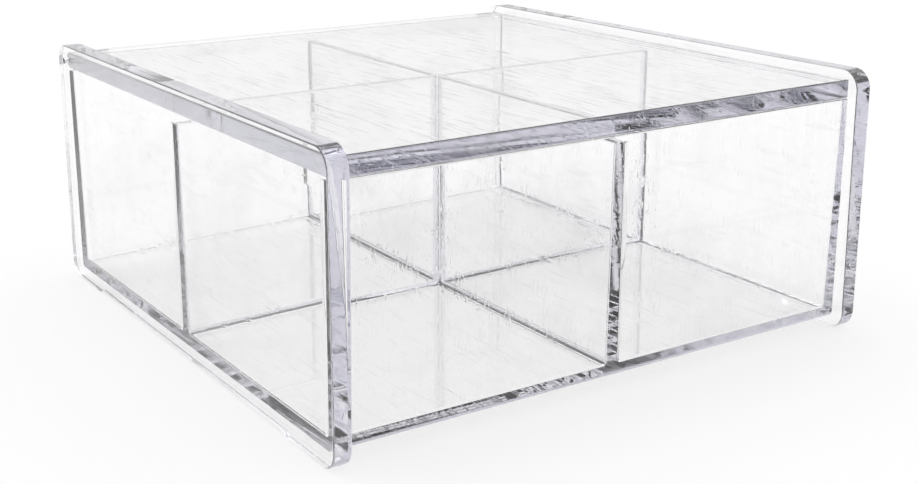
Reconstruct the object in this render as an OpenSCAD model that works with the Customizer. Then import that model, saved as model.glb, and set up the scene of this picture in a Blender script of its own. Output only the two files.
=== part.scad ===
// Clear lidded organizer box with four compartments.
// The body is one moulding: two upright end plates with four pockets between
// them. A flat lid swings on two short steel pins pressed into the plates.
// Origin: middle of the footprint, on the surface that the feet stand on.
// +X is the right-hand end plate, -Y is the front, +Z is up.

/* [Case] */
// Width over both end plates
case_w = 140; // [110:1:200]
// Depth of the end plates, front to back
case_d = 144; // [110:1:200]
// Height of the end plates
case_h = 62; // [50:1:90]

/* [End plates] */
// Thickness of an end plate along its top, beside the lid
plate_t = 4.6; // [4:0.1:6]
// How much thinner an end plate is at its foot
plate_taper = 0.7; // [0:0.1:1.5]
// Radius of an end plate's four corners
plate_corner_r = 4.5; // [2:0.5:8]
// Length of the foot at each end of a plate's bottom edge
foot_len = 20; // [8:1:40]
// Height of the relief between the two feet of a plate
foot_relief = 0.7; // [0.3:0.1:2]
// How far the end plates stand above the lid
plate_rise = 2.0; // [1:0.1:4]

/* [Lid] */
// Thickness of the lid
lid_t = 4.2; // [3.5:0.1:6]
// Gap between the lid and each end plate
lid_side_gap = 0.3; // [0.2:0.05:0.6]
// Gap between the closed lid and the trough's rim
lid_rest_gap = 0.3; // [0.2:0.05:0.6]
// How far the lid's front edge sits back from the plates' front edges
lid_front_inset = 2.0; // [1:0.1:4]

/* [Hinge] */
// Diameter of a hinge pin
pin_d = 1.6; // [1.2:0.1:2]
// Length of a hinge pin
pin_len = 11.5; // [9:0.5:16]
// Radial running clearance between a pin and the lid's bore
pin_clearance = 0.05; // [0.02:0.01:0.1]
// Distance of the hinge axis from the plates' rear edges
axis_rear_inset = 4.0; // [3.5:0.1:6]

/* [Trough] */
// Height of the floor's underside above the feet
floor_lift = 3.0; // [2:0.1:6]
// Thickness of the front and back walls at the rim
wall_t = 2.4; // [1.8:0.1:3.5]
// Thickness of the floor
floor_t = 1.9; // [1.5:0.1:3.5]
// Distance of the front wall's face from the plates' front edges
front_inset = 2.4; // [1:0.1:5]
// Distance of the back wall's face from the plates' rear edges
rear_inset = 4.4; // [3:0.1:6]
// How far the front and back faces draw in towards the floor
face_draft = 0.7; // [0:0.1:1.5]
// Height of the upright band along the rim
rim_h = 4; // [2:0.5:8]
// Radius of the bottom edges at the front and back
bottom_edge_r = 1.2; // [1:0.1:4]

/* [Pockets] */
// Thickness of a divider at its top
divider_t = 2.4; // [2:0.1:4]
// How far the dividers' tops lie below the rim
divider_drop = 1.8; // [0.5:0.1:6]
// Left-to-right place of the divider that runs front to back
divider_x = 0; // [-10:0.5:10]
// Front-to-back place of the divider that runs left to right
divider_y = 0; // [-10:0.5:10]
// Radius of the pockets' corners and floor fillets
pocket_r = 1; // [0.5:0.1:3]
// How far a pocket's outer sides draw in towards the floor
wall_draft = 0.7; // [0:0.1:1.2]
// How far a pocket's divider sides draw in towards the floor
divider_draft = 0.2; // [0:0.1:1]

/* [Hidden] */

// Facets of exact round features, and of the rounded corners inside a hull
fine = 96;
blend = 32;
// Overshoot that carries a cutting shape past the face it cuts
past = 1;

clear = [0.88, 0.90, 0.94, 0.35];
steel = [0.10, 0.10, 0.11];

lid_top = case_h - plate_rise;
lid_bottom = lid_top - lid_t;
axis_y = case_d / 2 - axis_rear_inset;
axis_z = lid_top - lid_t / 2;
lid_front = -case_d / 2 + lid_front_inset;
plate_inner = case_w / 2 - plate_t;
lid_half_w = plate_inner - lid_side_gap;

rim_z = lid_bottom - lid_rest_gap;
floor_z = floor_lift + floor_t;
front_face = -case_d / 2 + front_inset;
back_face = case_d / 2 - rear_inset;
bore_r = pin_d / 2 + pin_clearance;
// Gap between a pin's inner end and the bottom of its bore
bore_end_gap = 0.5;

// Side outline of an end plate: a rounded rectangle that stands on two feet
module plate_outline() {
    r = plate_corner_r;
    difference() {
        union() {
            translate([-case_d / 2 + r, 0])
                square([case_d - 2 * r, case_h]);
            translate([-case_d / 2, r])
                square([case_d, case_h - 2 * r]);
            for (y = [-case_d / 2 + r, case_d / 2 - r], z = [r, case_h - r])
                translate([y, z])
                    circle(r, $fn = fine);
        }
        translate([-case_d / 2 + foot_len, -past])
            square([case_d - 2 * foot_len, past + foot_relief]);
    }
}

// End view of the right-hand plate: the outer face is upright, and the inner
// face is upright beside the lid and the rim, then draws out to a thinner foot
module plate_section() {
    outer = case_w / 2;
    polygon([
        [outer, -past],
        [outer, case_h + past],
        [plate_inner, case_h + past],
        [plate_inner, rim_z - rim_h],
        [plate_inner + plate_taper, 0],
        [plate_inner + plate_taper, -past]
    ]);
}

module along_x(length) {
    rotate([90, 0, 90])
        linear_extrude(length, center = true)
            children();
}

module along_y(length) {
    rotate([90, 0, 0])
        linear_extrude(length, center = true)
            children();
}

// A round bar of radius r on the hinge axis, from x = start towards +X
module on_axis(r, start, length) {
    translate([start, axis_y, axis_z])
        rotate([0, 90, 0])
            cylinder(r = r, h = length, $fn = fine);
}

module right_plate() {
    intersection() {
        along_x(2 * case_w) plate_outline();
        along_y(2 * case_d) plate_section();
    }
}

// Side outline of the trough between the plates: an upright rim, then sides
// that draw in towards rounded bottom edges
module trough_outline() {
    r = bottom_edge_r;
    hull() {
        for (y = [front_face + face_draft + r, back_face - face_draft - r])
            translate([y, floor_lift + r])
                circle(r, $fn = blend);
        translate([front_face, rim_z - rim_h])
            square([back_face - front_face, rim_h]);
    }
}

// One pocket, open at the top, between two corners given at the rim.
// draw_low and draw_high are how far its low and high sides draw in at the floor.
module pocket(low, high, draw_low, draw_high) {
    r = pocket_r;
    hull() {
        for (x = [low.x + draw_low.x + r, high.x - draw_high.x - r],
             y = [low.y + draw_low.y + r, high.y - draw_high.y - r])
            translate([x, y, floor_z + r])
                sphere(r, $fn = blend);
        for (x = [low.x + r, high.x - r], y = [low.y + r, high.y - r])
            translate([x, y, rim_z])
                cylinder(r = r, h = past, $fn = blend);
    }
}

module pockets() {
    x_edges = [-plate_inner, divider_x - divider_t / 2, divider_x + divider_t / 2, plate_inner];
    y_edges = [front_face + wall_t, divider_y - divider_t / 2,
               divider_y + divider_t / 2, back_face - wall_t];
    draws = [wall_draft, divider_draft, divider_draft, wall_draft];
    // Width of a divider together with the fillets at its ends
    gap = divider_t + 2 * pocket_r;
    for (i = [0, 2], j = [0, 2])
        pocket([x_edges[i], y_edges[j]], [x_edges[i + 1], y_edges[j + 1]],
               [draws[i], draws[j]], [draws[i + 1], draws[j + 1]]);
    // A cross-shaped cut takes the dividers' tops down below the rim
    translate([x_edges[0], divider_y - gap / 2, rim_z - divider_drop])
        cube([x_edges[3] - x_edges[0], gap, divider_drop + past]);
    translate([divider_x - gap / 2, y_edges[0], rim_z - divider_drop])
        cube([gap, y_edges[3] - y_edges[0], divider_drop + past]);
}

// The moulded body: end plates, front and back walls, floor and dividers
module compartment_body() {
    color(clear)
        difference() {
            union() {
                right_plate();
                mirror([1, 0, 0]) right_plate();
                along_x(2 * plate_inner + plate_t) trough_outline();
            }
            pockets();
            on_axis(pin_d / 2, -case_w / 2 - past, plate_t + 2 * past);
            on_axis(pin_d / 2, plate_inner - past, plate_t + 2 * past);
        }
}

// Flat lid whose rear edge is fully rounded about the hinge axis
module lid() {
    bore_len = pin_len - plate_t - lid_side_gap + bore_end_gap;
    color(clear)
        difference() {
            union() {
                translate([-lid_half_w, lid_front, lid_bottom])
                    cube([2 * lid_half_w, axis_y - lid_front, lid_t]);
                on_axis(lid_t / 2, -lid_half_w, 2 * lid_half_w);
            }
            on_axis(bore_r, -lid_half_w - past, bore_len + past);
            on_axis(bore_r, lid_half_w - bore_len, bore_len + past);
        }
}

// The left pin, flush with the outer face of its end plate
module left_hinge_pin() {
    color(steel) on_axis(pin_d / 2, -case_w / 2, pin_len);
}

// The right pin, flush with the outer face of its end plate
module right_hinge_pin() {
    color(steel) on_axis(pin_d / 2, case_w / 2 - pin_len, pin_len);
}

compartment_body();
lid();
left_hinge_pin();
right_hinge_pin();
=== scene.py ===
"""Looks of the clear lidded organizer box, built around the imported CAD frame.

Shapes are worked out in millimetres in the row frame and scaled to metres at the end.
"""

import math

import bmesh
import bpy
from mathutils import Matrix, Vector


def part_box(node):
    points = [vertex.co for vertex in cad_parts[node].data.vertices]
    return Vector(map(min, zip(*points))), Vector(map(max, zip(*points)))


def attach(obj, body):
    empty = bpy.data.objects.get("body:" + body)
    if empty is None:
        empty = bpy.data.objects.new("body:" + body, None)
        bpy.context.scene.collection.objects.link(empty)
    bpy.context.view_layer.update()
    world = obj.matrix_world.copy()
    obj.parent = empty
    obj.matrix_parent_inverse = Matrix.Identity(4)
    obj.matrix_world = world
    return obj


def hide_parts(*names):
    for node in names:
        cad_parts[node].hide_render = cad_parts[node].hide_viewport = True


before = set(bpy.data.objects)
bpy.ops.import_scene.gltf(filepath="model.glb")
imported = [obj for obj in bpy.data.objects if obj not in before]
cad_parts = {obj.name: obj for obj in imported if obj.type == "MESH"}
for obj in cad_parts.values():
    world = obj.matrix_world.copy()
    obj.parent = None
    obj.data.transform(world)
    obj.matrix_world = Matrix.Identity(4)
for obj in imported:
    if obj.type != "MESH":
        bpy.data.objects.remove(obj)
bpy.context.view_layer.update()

MM = 0.001

# End plates
PLATE_CORNER_R = 4.5
PLATE_T = 4.6
PLATE_TAPER = 0.7
FOOT_LEN = 20.0
FOOT_RELIEF = 0.7
RELIEF_RAMP = 1.6
PLATE_EDGE_R = 0.3
# Lid
LID_EDGE_R = 0.4
BORE_R = 0.85
BORE_LEN = 7.1
LID_REST_GAP = 0.3
# Trough between the plates
FRONT_INSET = 2.4
REAR_INSET = 4.4
FLOOR_LIFT = 3.0
FLOOR_T = 1.9
WALL_T = 2.4
FACE_DRAFT = 0.7
RIM_H = 4.0
RIM_R = 0.35
BOTTOM_EDGE_R = 1.2
# Pockets
DIVIDER_T = 2.4
DIVIDER_DROP = 1.8
DIVIDER_TOP_R = 0.6
POCKET_R = 1.0
WALL_DRAFT = 0.7
DIVIDER_DRAFT = 0.2
# Hinge pins: end rounding, and the slack that keeps a pin's side off its hole
PIN_EDGE_R = 0.12
PIN_SLACK = 0.01
PIN_FACETS = 48
# Segments in a quarter turn
ARC = 10
# Surfaces: the roughness of untouched plastic, and the depth of a scratch in metres
POLISH = 0.004
SCRATCH_DEPTH = 0.00002
# Floor, in metres: half its width, and how far it lies below the feet
FLOOR_HALF = 6.0
FLOOR_DROP = 0.0001


def corners_mm(node):
    """A CAD node's lowest and highest corners in millimetres."""
    low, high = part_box(node)
    return low / MM, high / MM


# ---------------------------------------------------------------- mesh helpers


def arc(cu, cv, r, start_deg, end_deg, steps=ARC):
    """Points round part of a circle, both ends included."""
    turns = [math.radians(start_deg + (end_deg - start_deg) * i / steps) for i in range(steps + 1)]
    return [(cu + r * math.cos(t), cv + r * math.sin(t)) for t in turns]


def rounded_rect(x0, x1, y0, y1, r, steps=ARC):
    """A rounded rectangle, anticlockwise from its lower left corner."""
    return (
        arc(x0 + r, y0 + r, r, 180, 270, steps)
        + arc(x1 - r, y0 + r, r, 270, 360, steps)
        + arc(x1 - r, y1 - r, r, 0, 90, steps)
        + arc(x0 + r, y1 - r, r, 90, 180, steps)
    )


def loft(name, rings):
    """A closed solid through rings of (x, y, z) points that have equal counts."""
    bm = bmesh.new()
    loops = [[bm.verts.new(p) for p in ring] for ring in rings]
    for low, high in zip(loops, loops[1:]):
        for i in range(len(low)):
            j = (i + 1) % len(low)
            bm.faces.new((low[i], low[j], high[j], high[i]))
    bm.faces.new(list(reversed(loops[0])))
    bm.faces.new(loops[-1])
    bmesh.ops.recalc_face_normals(bm, faces=bm.faces)
    return to_object(name, bm)


def to_object(name, bm):
    """Turns a bmesh into an object in the scene."""
    mesh = bpy.data.meshes.new(name)
    bm.to_mesh(mesh)
    bm.free()
    ob = bpy.data.objects.new(name, mesh)
    bpy.context.scene.collection.objects.link(ob)
    return ob


def prism_x(name, outline, x0, x1):
    """A solid with the (y, z) outline, between two X places."""
    return loft(name, [[(x, y, z) for y, z in outline] for x in (x0, x1)])


def bake_modifiers(ob):
    """Applies the object's modifiers to its mesh."""
    graph = bpy.context.evaluated_depsgraph_get()
    mesh = bpy.data.meshes.new_from_object(ob.evaluated_get(graph))
    ob.modifiers.clear()
    ob.data = mesh


def combine(ob, operation, *tools):
    """Joins, cuts or trims the object with each tool in turn, and deletes the tools."""
    for cutter in tools:
        m = ob.modifiers.new("combine", "BOOLEAN")
        m.operation = operation
        m.solver = "EXACT"
        m.object = cutter
        bpy.context.view_layer.update()
        bake_modifiers(ob)
        bpy.data.objects.remove(cutter)


def round_edges(ob, width, steps=3, limit_deg=50):
    """Rounds the edges that are sharper than limit_deg."""
    m = ob.modifiers.new("edges", "BEVEL")
    m.width = width
    m.segments = steps
    m.limit_method = "ANGLE"
    m.angle_limit = math.radians(limit_deg)
    m.use_clamp_overlap = False
    m.miter_outer = "MITER_ARC"
    bpy.context.view_layer.update()
    bake_modifiers(ob)


def finish_mesh(ob, material, body, slot, *nodes):
    """Scales a piece to metres, shades it, gives it its material and places it on its body."""
    ob.data.transform(Matrix.Scale(MM, 4))
    ob.data.polygons.foreach_set("use_smooth", [True] * len(ob.data.polygons))
    ob.data.set_sharp_from_angle(angle=math.radians(40))
    m = ob.modifiers.new("normals", "WEIGHTED_NORMAL")
    m.mode = "FACE_AREA"
    m.weight = 100
    m.keep_sharp = True
    bpy.context.view_layer.update()
    bake_modifiers(ob)
    ob.data.materials.clear()
    ob.data.materials.append(material)
    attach(ob, body)
    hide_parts(*nodes)


# ---------------------------------------------------------------- materials


class Nodes:
    """A short way to add and join shader nodes."""

    def __init__(self, tree):
        self.tree = tree
        tree.nodes.clear()

    def add(self, kind, inputs=None, **settings):
        node = self.tree.nodes.new(kind)
        for key, value in settings.items():
            setattr(node, key, value)
        for key, value in (inputs or {}).items():
            if isinstance(value, bpy.types.NodeSocket):
                self.tree.links.new(value, node.inputs[key])
            else:
                node.inputs[key].default_value = value
        return node

    def math(self, operation, a, b):
        return self.add("ShaderNodeMath", {0: a, 1: b}, operation=operation).outputs[0]

    def multiply_add(self, value, factor, offset):
        inputs = {0: value, 1: factor, 2: offset}
        return self.add("ShaderNodeMath", inputs, operation="MULTIPLY_ADD").outputs[0]

    def remap(self, value, low, high, to_low, to_high):
        node = self.add("ShaderNodeMapRange", {0: value, 1: low, 2: high, 3: to_low, 4: to_high})
        node.interpolation_type = "SMOOTHSTEP"
        return node.outputs[0]


def clear_plastic(name, wear, haze, ripple):
    """Clear moulded plastic with handling smudges, fine scratches and a faint moulding ripple.

    wear roughens the smudges, haze clouds smudges and scratches, and ripple is the swell's height.
    """
    mat = bpy.data.materials.new(name)
    mat.use_nodes = True
    n = Nodes(mat.node_tree)
    where = n.add("ShaderNodeTexCoord").outputs["Object"]
    smudge = n.add("ShaderNodeTexNoise", {"Vector": where, "Scale": 38.0, "Detail": 4.0, "Roughness": 0.6})
    patch = n.remap(smudge.outputs[0], 0.48, 0.74, 0.0, 1.0)
    grain = n.add("ShaderNodeTexNoise", {"Vector": where, "Scale": 420.0, "Detail": 3.0, "Roughness": 0.7})
    speck = n.remap(grain.outputs[0], 0.5, 0.8, 0.0, 1.0)
    smear = n.math("MULTIPLY", patch, n.multiply_add(speck, 0.6, 0.5))
    rough = n.multiply_add(smear, wear, POLISH)
    swell = n.add("ShaderNodeTexNoise", {"Vector": where, "Scale": 30.0, "Detail": 1.0})
    wave = n.add("ShaderNodeBump", {"Height": swell.outputs[0], "Strength": 1.0, "Distance": ripple})
    stretched = n.add(
        "ShaderNodeMapping",
        {"Vector": where, "Scale": (900.0, 60.0, 300.0), "Rotation": (0.3, 0.5, 0.7)},
    )
    scratch = n.add("ShaderNodeTexNoise", {"Vector": stretched.outputs[0], "Scale": 1.0, "Detail": 2.0})
    lines = n.remap(scratch.outputs[0], 0.62, 0.7, 0.0, 1.0)
    scored = n.add(
        "ShaderNodeBump",
        {"Height": lines, "Strength": 0.35, "Distance": SCRATCH_DEPTH, "Normal": wave.outputs[0]},
    )
    clouded = n.math("MULTIPLY", n.math("ADD", patch, lines), haze)
    glass = n.add(
        "ShaderNodeBsdfPrincipled",
        {
            "Base Color": (1.0, 1.0, 1.0, 1.0),
            "IOR": 1.57,
            "Transmission Weight": n.math("SUBTRACT", 1.0, clouded),
            "Roughness": rough,
            "Normal": scored.outputs[0],
        },
    )
    depth = n.add("ShaderNodeVolumeAbsorption", {"Color": (0.1, 0.08, 0.4, 1.0), "Density": 2.6})
    n.add("ShaderNodeOutputMaterial", {"Surface": glass.outputs[0], "Volume": depth.outputs[0]})
    return mat


def pin_steel():
    """Dark wire with streaks along the pin."""
    mat = bpy.data.materials.new("pin_steel")
    mat.use_nodes = True
    n = Nodes(mat.node_tree)
    where = n.add("ShaderNodeTexCoord").outputs["Object"]
    along = n.add("ShaderNodeMapping", {"Vector": where, "Scale": (200.0, 6000.0, 6000.0)})
    streak = n.add("ShaderNodeTexNoise", {"Vector": along.outputs[0], "Scale": 1.0, "Detail": 3.0})
    rough = n.remap(streak.outputs[0], 0.3, 0.7, 0.22, 0.45)
    groove = {"Height": streak.outputs[0], "Strength": 0.3, "Distance": SCRATCH_DEPTH}
    bump = n.add("ShaderNodeBump", groove)
    steel = n.add(
        "ShaderNodeBsdfPrincipled",
        {
            "Base Color": (0.05, 0.05, 0.055, 1.0),
            "Metallic": 1.0,
            "Roughness": rough,
            "Normal": bump.outputs[0],
        },
    )
    n.add("ShaderNodeOutputMaterial", {"Surface": steel.outputs[0]})
    return mat


# ---------------------------------------------------------------- pieces


def pin_bar(name, r, x0, x1):
    """A round bar on the hinge axis."""
    low, high = corners_mm("left_hinge_pin")
    cy = (low.y + high.y) / 2
    cz = (low.z + high.z) / 2
    return prism_x(name, arc(cy, cz, r, 0, 360, PIN_FACETS)[:-1], x0, x1)


def rim_height():
    """The height of the trough's rim, just below the closed lid."""
    return corners_mm("lid")[0].z - LID_REST_GAP


def end_plate(side):
    """An end plate: outer face upright, inner face drawn out below the rim. side is -1 or 1."""
    low, high = corners_mm("compartment_body")
    outer = side * high.x
    inner = side * (high.x - PLATE_T)
    r = PLATE_CORNER_R
    relief_y = high.y - FOOT_LEN
    outline = (
        arc(low.y + r, low.z + r, r, 180, 270)
        + [(-relief_y, low.z), (-relief_y + RELIEF_RAMP, low.z + FOOT_RELIEF)]
        + [(relief_y - RELIEF_RAMP, low.z + FOOT_RELIEF), (relief_y, low.z)]
        + arc(high.y - r, low.z + r, r, 270, 360)
        + arc(high.y - r, high.z - r, r, 0, 90)
        + arc(low.y + r, high.z - r, r, 90, 180)
    )
    ob = prism_x("plate", outline, outer, inner)
    kink_z = rim_height() - RIM_H
    bm = bmesh.new()
    bm.from_mesh(ob.data)
    geom = bm.verts[:] + bm.edges[:] + bm.faces[:]
    bmesh.ops.bisect_plane(bm, geom=geom, plane_co=(0, 0, kink_z), plane_no=(0, 0, 1))
    for v in bm.verts:
        if abs(v.co.x - inner) < 0.01 and v.co.z < kink_z:
            v.co.x += side * PLATE_TAPER * (kink_z - v.co.z) / kink_z
    bm.to_mesh(ob.data)
    bm.free()
    round_edges(ob, PLATE_EDGE_R)
    return ob


def trough():
    """The block between the plates: an upright rim, then front and back faces drawn in to the floor."""
    low, high = corners_mm("compartment_body")
    front = low.y + FRONT_INSET
    back = high.y - REAR_INSET
    rim_z = rim_height()
    r = BOTTOM_EDGE_R
    outline = (
        arc(front + FACE_DRAFT + r, FLOOR_LIFT + r, r, 180, 270, 6)
        + arc(back - FACE_DRAFT - r, FLOOR_LIFT + r, r, 270, 360, 6)
        + [(back, rim_z - RIM_H)]
        + arc(back - RIM_R, rim_z - RIM_R, RIM_R, 0, 90, 4)
        + arc(front + RIM_R, rim_z - RIM_R, RIM_R, 90, 180, 4)
        + [(front, rim_z - RIM_H)]
    )
    half = high.x - PLATE_T / 2
    return prism_x("trough", outline, -half, half)


def recess(x_edges, y_edges, rim_z):
    """The shallow space above the dividers, with a softened edge round the rim."""

    def ring(grow, z):
        box = (x_edges[0], x_edges[3], y_edges[0] - grow, y_edges[3] + grow)
        return [(x, y, z) for x, y in rounded_rect(*box, POCKET_R)]

    # The round stops short of level, and the cutter's wall carries on up from there
    steps, last_deg = 4, 80
    rings = [ring(0, rim_z - DIVIDER_DROP), ring(0, rim_z - RIM_R)]
    for i in range(1, steps + 1):
        t = math.radians(last_deg * i / steps)
        rings.append(ring(RIM_R * (1 - math.cos(t)), rim_z - RIM_R * (1 - math.sin(t))))
    rings.append(ring(RIM_R, rim_z + 1))
    return loft("recess", rings)


def pocket(x_side, y_side, sides, floor_z, top_z):
    """One pocket. x_side and y_side are -1 or 1, away from the dividers, whose tops are rounded."""
    r = POCKET_R
    x0, x1, y0, y1 = sides
    x_draws = (WALL_DRAFT, DIVIDER_DRAFT)[::-x_side]
    y_draws = (WALL_DRAFT, DIVIDER_DRAFT)[::-y_side]

    def ring(inset, draw, z, corner, flare=0.0):
        box = [
            x0 + inset + draw * x_draws[0],
            x1 - inset - draw * x_draws[1],
            y0 + inset + draw * y_draws[0],
            y1 - inset - draw * y_draws[1],
        ]
        box[1 if x_side < 0 else 0] -= x_side * flare
        box[3 if y_side < 0 else 2] -= y_side * flare
        return [(x, y, z) for x, y in rounded_rect(*box, max(corner, 0.02))]

    rings = []
    for i in range(ARC + 1):
        t = math.radians(90 * i / ARC)
        rings.append(ring(r * (1 - math.sin(t)), 1, floor_z + r * (1 - math.cos(t)), r * math.sin(t)))
    flare_z = top_z - DIVIDER_TOP_R
    rings.append(ring(0, 0, flare_z, r))
    steps, last_deg = 5, 84
    for i in range(1, steps + 1):
        t = math.radians(last_deg * i / steps)
        flare = DIVIDER_TOP_R * (1 - math.cos(t))
        rings.append(ring(0, 0, flare_z + DIVIDER_TOP_R * math.sin(t), r, flare))
    rings.append(ring(0, 0, top_z + 1, r, DIVIDER_TOP_R))
    return loft("pocket", rings)


def compartment_body(material):
    """The moulded body: a trough between end plates, four pockets, and a recess above the dividers."""
    low, high = corners_mm("compartment_body")
    rim_z = rim_height()
    ob = trough()
    combine(ob, "UNION", end_plate(-1), end_plate(1))
    half_d = DIVIDER_T / 2
    inner = high.x - PLATE_T
    x_edges = (-inner, -half_d, half_d, inner)
    y_edges = (low.y + FRONT_INSET + WALL_T, -half_d, half_d, high.y - REAR_INSET - WALL_T)
    combine(ob, "DIFFERENCE", recess(x_edges, y_edges, rim_z))
    for i, x_side in ((0, -1), (2, 1)):
        for j, y_side in ((0, -1), (2, 1)):
            sides = (x_edges[i], x_edges[i + 1], y_edges[j], y_edges[j + 1])
            cutter = pocket(x_side, y_side, sides, FLOOR_LIFT + FLOOR_T, rim_z - DIVIDER_DROP)
            combine(ob, "DIFFERENCE", cutter)
    pin_low, pin_high = corners_mm("left_hinge_pin")
    hole_r = (pin_high.z - pin_low.z) / 2
    for side in (-1, 1):
        near, far = sorted((side * (inner - 1), side * (high.x + 1)))
        combine(ob, "DIFFERENCE", pin_bar("hole", hole_r, near, far))
    ob.name = "compartment_body_clear"
    finish_mesh(ob, material, "box", "clear_plastic", "compartment_body")


def lid(material):
    """The flat lid, with its rear edge rounded about the hinge axis and a blind bore in each end."""
    low, high = corners_mm("lid")
    r = (high.z - low.z) / 2
    outline = [(low.y, high.z), (low.y, low.z)] + arc(high.y - r, low.z + r, r, -90, 90, 24)
    ob = prism_x("lid_clear", outline, low.x, high.x)
    round_edges(ob, LID_EDGE_R)
    left = pin_bar("left_bore", BORE_R, low.x - 1, low.x + BORE_LEN)
    right = pin_bar("right_bore", BORE_R, high.x - BORE_LEN, high.x + 1)
    combine(ob, "DIFFERENCE", left, right)
    finish_mesh(ob, material, "lid", "clear_plastic", "lid")


def hinge_pin(node, material):
    """A wire pin with softened ends."""
    low, high = corners_mm(node)
    r = (high.z - low.z) / 2
    ob = pin_bar(node + "_steel", r - PIN_SLACK, low.x, high.x)
    round_edges(ob, PIN_EDGE_R)
    finish_mesh(ob, material, "box", "pin_steel", node)


# ---------------------------------------------------------------- stage


def camera():
    """A close camera that looks down over the front left corner."""
    yaw, pitch, roll = 0.5686, 0.2591, -0.0055
    forward = Vector((math.sin(yaw) * math.cos(pitch), math.cos(yaw) * math.cos(pitch), -math.sin(pitch)))
    right = Vector((math.cos(yaw), -math.sin(yaw), 0))
    up = right.cross(forward)
    across = right * math.cos(roll) + up * math.sin(roll)
    upward = up * math.cos(roll) - right * math.sin(roll)
    turn = Matrix((across, upward, -forward)).transposed().to_4x4()
    data = bpy.data.cameras.new("camera")
    data.sensor_width = 36
    data.lens = 54.6
    data.shift_x = 0.0348
    data.shift_y = -0.06
    data.clip_start = 0.01
    ob = bpy.data.objects.new("camera", data)
    bpy.context.scene.collection.objects.link(ob)
    ob.matrix_world = Matrix.Translation((-0.1818, -0.2793, 0.1175)) @ turn
    bpy.context.scene.camera = ob


def floor():
    """A plain pale sweep that the box stands on, lit from within like a light table."""
    bm = bmesh.new()
    bmesh.ops.create_grid(bm, x_segments=1, y_segments=1, size=FLOOR_HALF)
    ob = to_object("floor", bm)
    ob.location = (0, 0, -FLOOR_DROP)
    mat = bpy.data.materials.new("floor_white")
    mat.use_nodes = True
    n = Nodes(mat.node_tree)
    paper = n.add("ShaderNodeBsdfDiffuse", {"Color": (0.22, 0.22, 0.22, 1.0)})
    glow = n.add("ShaderNodeEmission", {"Color": (1.0, 1.0, 1.0, 1.0), "Strength": 0.76})
    lit = n.add("ShaderNodeAddShader", {0: paper.outputs[0], 1: glow.outputs[0]})
    n.add("ShaderNodeOutputMaterial", {"Surface": lit.outputs[0]})
    ob.data.materials.append(mat)


def light():
    """A white studio, dim behind the camera, with a low dark flag beyond the box and a softbox overhead."""
    world = bpy.data.worlds.new("studio")
    bpy.context.scene.world = world
    world.use_nodes = True
    n = Nodes(world.node_tree)
    way = n.add("ShaderNodeTexCoord").outputs["Generated"]

    def towards(direction):
        """1 where the surround lies straight towards the direction, and -1 straight away from it."""
        inputs = {0: way, 1: Vector(direction).normalized()}
        return n.add("ShaderNodeVectorMath", inputs, operation="DOT_PRODUCT").outputs["Value"]

    up = towards((0, 0, 1))
    behind_camera = n.remap(towards((-0.53, -0.82, 0.35)), 0.4, 0.95, 1.0, 0.35)
    higher = n.remap(up, 0.3, 0.75, 0.9, 1.3)
    softbox = n.remap(towards((-0.25, 0.35, 1.0)), 0.93, 0.97, 0.0, 1.5)
    low = n.remap(up, 0.07, 0.16, 0.85, 0.0)
    beyond = n.remap(towards((0.43, 0.9, 0.05)), 0.968, 0.988, 0.0, 1.0)
    flag = n.math("SUBTRACT", 1.0, n.math("MULTIPLY", low, beyond))
    walls = n.math("MULTIPLY", behind_camera, higher)
    level = n.math("ADD", n.math("MULTIPLY", walls, flag), softbox)
    sky = n.add("ShaderNodeBackground", {"Color": (1.0, 1.0, 1.0, 1.0), "Strength": level})
    # The camera itself sees plain white, so the flag shows only through and in the plastic
    backdrop = n.add("ShaderNodeBackground", {"Color": (1.0, 1.0, 1.0, 1.0), "Strength": 1.0})
    seen = n.add("ShaderNodeLightPath").outputs["Is Camera Ray"]
    either = n.add("ShaderNodeMixShader", {0: seen, 1: sky.outputs[0], 2: backdrop.outputs[0]})
    n.add("ShaderNodeOutputWorld", {"Surface": either.outputs[0]})


scene = bpy.context.scene
scene.view_settings.view_transform = "Standard"
scene.cycles.max_bounces = 32
scene.cycles.transmission_bounces = 32
scene.cycles.glossy_bounces = 16
scene.cycles.diffuse_bounces = 3

camera()
floor()
light()
plastic = clear_plastic("clear_plastic", wear=0.1, haze=0.07, ripple=0.00004)
compartment_body(plastic)
lid(plastic)
steel = pin_steel()
hinge_pin("left_hinge_pin", steel)
hinge_pin("right_hinge_pin", steel)
